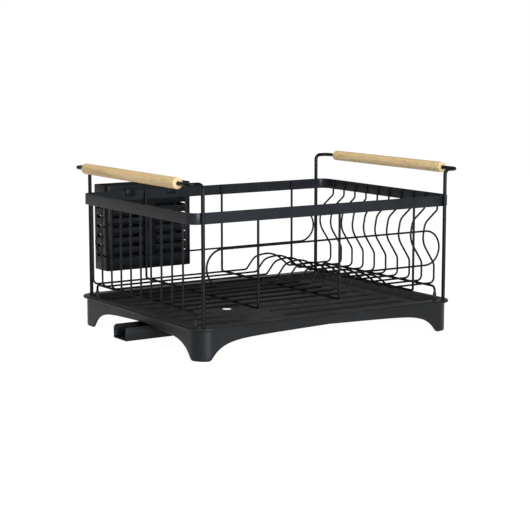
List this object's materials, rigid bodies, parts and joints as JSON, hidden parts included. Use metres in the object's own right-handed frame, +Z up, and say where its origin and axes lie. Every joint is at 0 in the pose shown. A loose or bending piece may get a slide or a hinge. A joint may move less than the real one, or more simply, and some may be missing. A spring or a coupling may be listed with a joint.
{
  "type": "dish drying rack",
  "caption": "Coated wire dish rack with wood grips and a rear utensil holder on a footed drip tray that drains through a swivelling spout.",
  "frame": {"origin": "on the counter, at the middle of the whole rack's outline seen from above", "axes": "+X along the long side towards the end with the bulged wires, +Y to the back where the utensil holder hangs, +Z up"},
  "size_m": [0.452, 0.358, 0.2269],
  "materials": {
    "black_coat": "satin",
    "grip_wood": "matte",
    "tray_plastic": "matte",
    "spout_plastic": "satin",
    "pin_plastic": "matte",
    "black_rubber": "matte",
    "holder_plastic": "satin"
  },
  "bodies": {
    "tray": {"drip_tray": "tray_plastic", "spout_pivot_pin": "pin_plastic"},
    "spout": {"drain_spout": "spout_plastic"},
    "basket": {"rim_band": "black_coat", "handle_post_front_left": "black_coat", "handle_post_back_left": "black_coat", "handle_post_front_right": "black_coat", "handle_post_back_right": "black_coat", "plate_wire_1": "black_coat", "plate_wire_2": "black_coat", "plate_wire_3": "black_coat", "plate_wire_4": "black_coat", "plate_wire_5": "black_coat", "plate_wire_6": "black_coat", "plate_wire_7": "black_coat", "plate_wire_8": "black_coat", "plate_wire_9": "black_coat", "plate_wire_10": "black_coat", "cross_wire_left": "black_coat", "cross_wire_middle": "black_coat", "cross_wire_right": "black_coat", "front_rail_loop": "black_coat", "back_rail_loop": "black_coat", "foot_wire_left": "black_coat", "foot_wire_right": "black_coat", "foot_wire_tips": "black_rubber"},
    "left_grip": {"wood_grip_left": "grip_wood"},
    "right_grip": {"wood_grip_right": "grip_wood"},
    "holder": {"utensil_holder": "holder_plastic"}
  },
  "joints": [
    {"name": "basket_lift", "type": "slide", "parent": "tray", "child": "basket", "axis": [0, 0, 1], "range_m": [0, 0.06]},
    {"name": "holder_lift", "type": "slide", "parent": "basket", "child": "holder", "axis": [0, 0, 1], "range_m": [0, 0.13]},
    {"name": "spout_swivel", "type": "hinge", "parent": "tray", "child": "spout", "pos_m": [-0.04197, -0.0255, 0], "axis": [0, 0, 1], "range_deg": [-8, 8]},
    {"name": "left_grip_spin", "type": "hinge", "parent": "basket", "child": "left_grip", "pos_m": [-0.20267, -0.013, 0.2197], "axis": [0, 1, 0], "continuous": true},
    {"name": "right_grip_spin", "type": "hinge", "parent": "basket", "child": "right_grip", "pos_m": [0.21873, -0.013, 0.2197], "axis": [0, 1, 0], "continuous": true}
  ]
}
